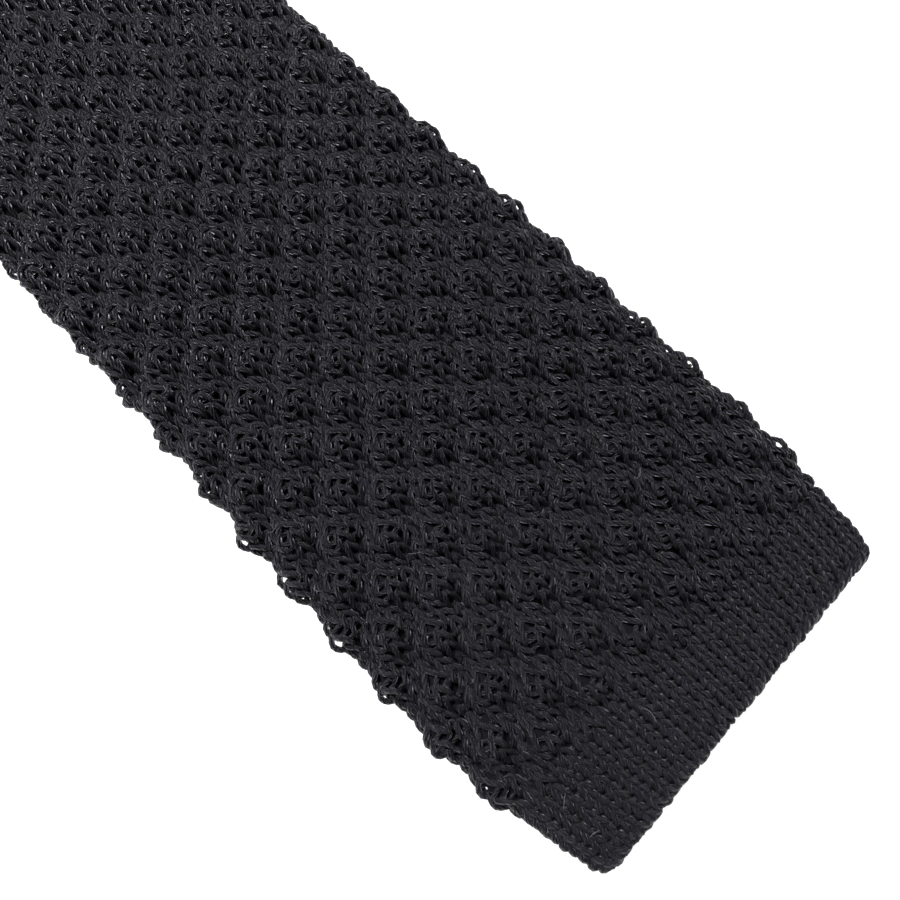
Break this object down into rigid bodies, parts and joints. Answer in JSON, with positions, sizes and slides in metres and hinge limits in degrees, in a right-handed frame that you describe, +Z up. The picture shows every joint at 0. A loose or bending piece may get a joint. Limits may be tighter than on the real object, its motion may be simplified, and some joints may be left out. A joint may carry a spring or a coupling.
{
  "type": "necktie",
  "caption": "Square-ended black knitted necktie in a raised bubble stitch with plain knitted end bands, folded in three, with a keeper loop behind the wide blade.",
  "frame": {"origin": "on the table under the centre of the folded tie", "axes": "+X along the fold towards the square end of the wide blade, +Y across it, +Z up out of the blade's face"},
  "size_m": [0.496, 0.06, 0.0188],
  "materials": {
    "bubble_knit": "raised bubble stitch in near-black yarn",
    "plain_knit": "plain knit in near-black yarn",
    "thread": "near-black sewing thread",
    "keeper_cloth": "narrow near-black knitted strap",
    "label_cloth": "blank woven satin label, charcoal",
    "tape": "thin woven cotton tape"
  },
  "bodies": {
    "neck": {"neck_front_half": "bubble_knit", "neck_joining_seam": "plain_knit", "neck_tail_half": "bubble_knit", "neck_back_seam": "plain_knit", "neck_stay_tape": "tape", "care_label": "label_cloth", "care_label_stitches": "thread", "front_fold_bend": "bubble_knit", "tail_fold_bend": "bubble_knit"},
    "front_blade": {"front_blade_panel": "bubble_knit", "front_end_band": "plain_knit", "front_back_seam": "plain_knit", "front_end_stitches": "thread", "front_seam_tack": "thread", "keeper_loop": "keeper_cloth", "keeper_tack_left": "thread", "keeper_tack_right": "thread", "maker_label": "label_cloth", "maker_label_stitches": "thread"},
    "tail": {"tail_blade_panel": "bubble_knit", "tail_end_band": "plain_knit", "tail_back_seam": "plain_knit", "tail_end_stitches": "thread", "tail_seam_tack": "thread"}
  },
  "joints": [
    {"name": "front_fold", "type": "hinge", "parent": "neck", "child": "front_blade", "pos_m": [-0.24891, 0, 0.0117], "axis": [0, -1, 0], "range_deg": [0, 180], "deforming": ["front_fold_bend"]},
    {"name": "tail_fold", "type": "hinge", "parent": "neck", "child": "tail", "pos_m": [0.23331, 0, 0.0043], "axis": [0, -1, 0], "range_deg": [0, 180], "deforming": ["tail_fold_bend"]}
  ]
}
